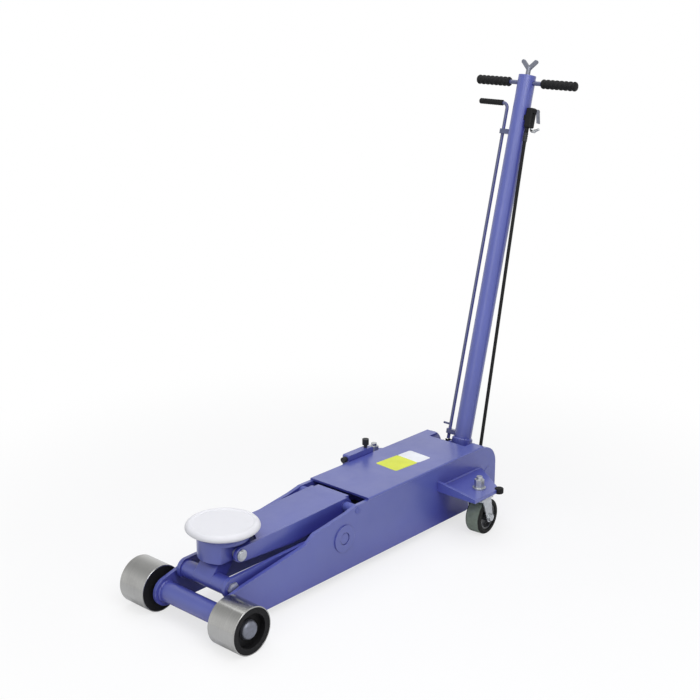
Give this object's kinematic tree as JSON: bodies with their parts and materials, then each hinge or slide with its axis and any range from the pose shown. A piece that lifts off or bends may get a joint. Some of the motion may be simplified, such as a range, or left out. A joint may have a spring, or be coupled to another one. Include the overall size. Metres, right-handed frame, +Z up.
{
  "type": "trolley jack",
  "caption": "Long-chassis air-hydraulic trolley jack with a level-lifting round saddle, steel front rollers, swivel rear casters and a tall leaning steering handle.",
  "frame": {"origin": "on the floor under the middle of the overall length and width", "axes": "+X from the front rollers to the handle end, +Y to the jack's right, +Z up"},
  "size_m": [1.344, 0.474, 1.2035],
  "materials": {
    "blue_paint": "satin violet-blue paint, slightly worn at the edges",
    "turned_steel": "fine turned tread, bare steel",
    "zinc": "bright zinc plate",
    "dark_steel": "oiled dark steel",
    "black_core": "black enamel",
    "white_pad": "matt off-white moulded pad",
    "black_rubber": "matt black rubber, ribbed on the grips",
    "tyre_rubber": "dark grey-green rubber tread",
    "caster_core": "dark grey pressed steel",
    "black_plastic": "moulded black body",
    "chrome": "bright plated fitting",
    "grey_rod": "bluish grey enamel on round bar",
    "grey_knob": "cast light alloy",
    "hose": "smooth black air hose"
  },
  "bodies": {
    "chassis": {"side_plate_left": "blue_paint", "side_plate_right": "blue_paint", "top_cover": "blue_paint", "axle_tube": "blue_paint", "axle_shaft": "dark_steel", "axle_nuts": "grey_knob", "belly_plate": "blue_paint", "wing_plates": "blue_paint", "corner_bumpers": "black_rubber", "caster_kingpins": "zinc", "arm_pivot_shaft": "dark_steel", "link_pivot_bolts": "blue_paint", "cylinder_bracket": "blue_paint", "ram_cylinder": "dark_steel", "reservoir_tank": "blue_paint", "pump_block": "dark_steel", "air_motor": "dark_steel", "air_manifold": "chrome", "handle_pins": "blue_paint", "latch_sector": "dark_steel", "filler_block": "blue_paint", "breather_caps": "dark_steel"},
    "lift_arm": {"arm_side_plates": "blue_paint", "arm_top_plate": "blue_paint", "arm_pivot_tube": "blue_paint", "ram_horns": "dark_steel"},
    "saddle_holder": {"saddle_bracket": "blue_paint", "saddle_pin": "zinc"},
    "saddle": {"saddle_cup": "blue_paint", "saddle_pad": "white_pad"},
    "link_frame": {"link_bars": "blue_paint", "link_cross_tubes": "blue_paint", "link_pin": "zinc"},
    "ram": {"ram": "turned_steel"},
    "handle": {"handle_fork": "blue_paint", "handle_tube": "blue_paint", "tee_bar": "grey_rod", "tee_grips": "black_rubber", "rod_guides": "grey_rod", "valve_body": "black_plastic", "inlet_nipple": "chrome", "air_hose": "hose"},
    "release_knob": {"release_knob": "grey_knob", "release_rod": "dark_steel", "flex_shaft": "dark_steel"},
    "valve_spindle": {"valve_spindle": "dark_steel"},
    "latch_rod": {"latch_rod": "grey_rod", "latch_grip": "black_rubber"},
    "valve_lever": {"valve_lever": "grey_knob"},
    "roller_left": {"roller_rim_left": "turned_steel", "roller_core_left": "black_core"},
    "caster_left": {"caster_fork_left": "zinc"},
    "caster_wheel_left": {"caster_tyre_left": "tyre_rubber", "caster_hub_left": "caster_core"},
    "roller_right": {"roller_rim_right": "turned_steel", "roller_core_right": "black_core"},
    "caster_right": {"caster_fork_right": "zinc"},
    "caster_wheel_right": {"caster_tyre_right": "tyre_rubber", "caster_hub_right": "caster_core"}
  },
  "joints": [
    {"name": "arm_lift", "type": "hinge", "parent": "chassis", "child": "lift_arm", "pos_m": [-0.15948, 0, 0.168], "axis": [0, 1, 0], "range_deg": [0, 62]},
    {"name": "saddle_level", "type": "hinge", "parent": "lift_arm", "child": "saddle_holder", "pos_m": [-0.51648, 0, 0.163], "axis": [0, 1, 0], "range_deg": [-62, 0]},
    {"name": "link_swing", "type": "hinge", "parent": "chassis", "child": "link_frame", "pos_m": [-0.20948, 0, 0.11], "axis": [0, 1, 0], "range_deg": [0, 62]},
    {"name": "ram_stroke", "type": "slide", "parent": "chassis", "child": "ram", "axis": [-1, 0, 0], "range_m": [0, 0.07726]},
    {"name": "saddle_swivel", "type": "hinge", "parent": "saddle_holder", "child": "saddle", "pos_m": [-0.51648, 0, 0.1987], "axis": [0, 0, 1], "continuous": true},
    {"name": "handle_tilt", "type": "hinge", "parent": "chassis", "child": "handle", "pos_m": [0.37952, 0, 0.11], "axis": [0, 1, 0], "range_deg": [-14, 50], "deforming": ["air_hose", "flex_shaft"]},
    {"name": "release_turn", "type": "hinge", "parent": "handle", "child": "release_knob", "pos_m": [0.64851, 0, 1.16144], "axis": [0.2478, 0, 0.9688], "range_deg": [0, 180]},
    {"name": "spindle_turn", "type": "hinge", "parent": "chassis", "child": "valve_spindle", "pos_m": [0.37655, 0, 0.09837], "axis": [0.2478, 0, 0.9688], "range_deg": [0, 180]},
    {"name": "latch_lift", "type": "slide", "parent": "handle", "child": "latch_rod", "axis": [0.2478, 0, 0.9688], "range_m": [0, 0.015]},
    {"name": "valve_squeeze", "type": "hinge", "parent": "handle", "child": "valve_lever", "pos_m": [0.62005, -0.054, 1.07035], "axis": [0.9688, 0, -0.2478], "range_deg": [0, 10], "stiffness_Nm_per_rad": 0.3, "springref_deg": -5.73},
    {"name": "roller_spin_left", "type": "hinge", "parent": "chassis", "child": "roller_left", "pos_m": [-0.61448, -0.1525, 0.0575], "axis": [0, 1, 0], "continuous": true},
    {"name": "caster_swivel_left", "type": "hinge", "parent": "chassis", "child": "caster_left", "pos_m": [0.22852, -0.184, 0.119], "axis": [0, 0, 1], "continuous": true},
    {"name": "caster_spin_left", "type": "hinge", "parent": "caster_left", "child": "caster_wheel_left", "pos_m": [0.24448, -0.18288, 0.048], "axis": [0.0698, -0.9976, 0], "continuous": true},
    {"name": "roller_spin_right", "type": "hinge", "parent": "chassis", "child": "roller_right", "pos_m": [-0.61448, 0.1525, 0.0575], "axis": [0, 1, 0], "continuous": true},
    {"name": "caster_swivel_right", "type": "hinge", "parent": "chassis", "child": "caster_right", "pos_m": [0.22852, 0.184, 0.119], "axis": [0, 0, 1], "continuous": true},
    {"name": "caster_spin_right", "type": "hinge", "parent": "caster_right", "child": "caster_wheel_right", "pos_m": [0.24448, 0.18512, 0.048], "axis": [0.0698, -0.9976, 0], "continuous": true}
  ],
  "couplings": [
    {"joint": "saddle_level", "follows": "arm_lift", "ratio": -1},
    {"joint": "link_swing", "follows": "arm_lift", "ratio": 1},
    {"joint": "ram_stroke", "follows": "arm_lift", "m_per_rad": 0.071394},
    {"joint": "spindle_turn", "follows": "release_turn", "ratio": 1}
  ]
}
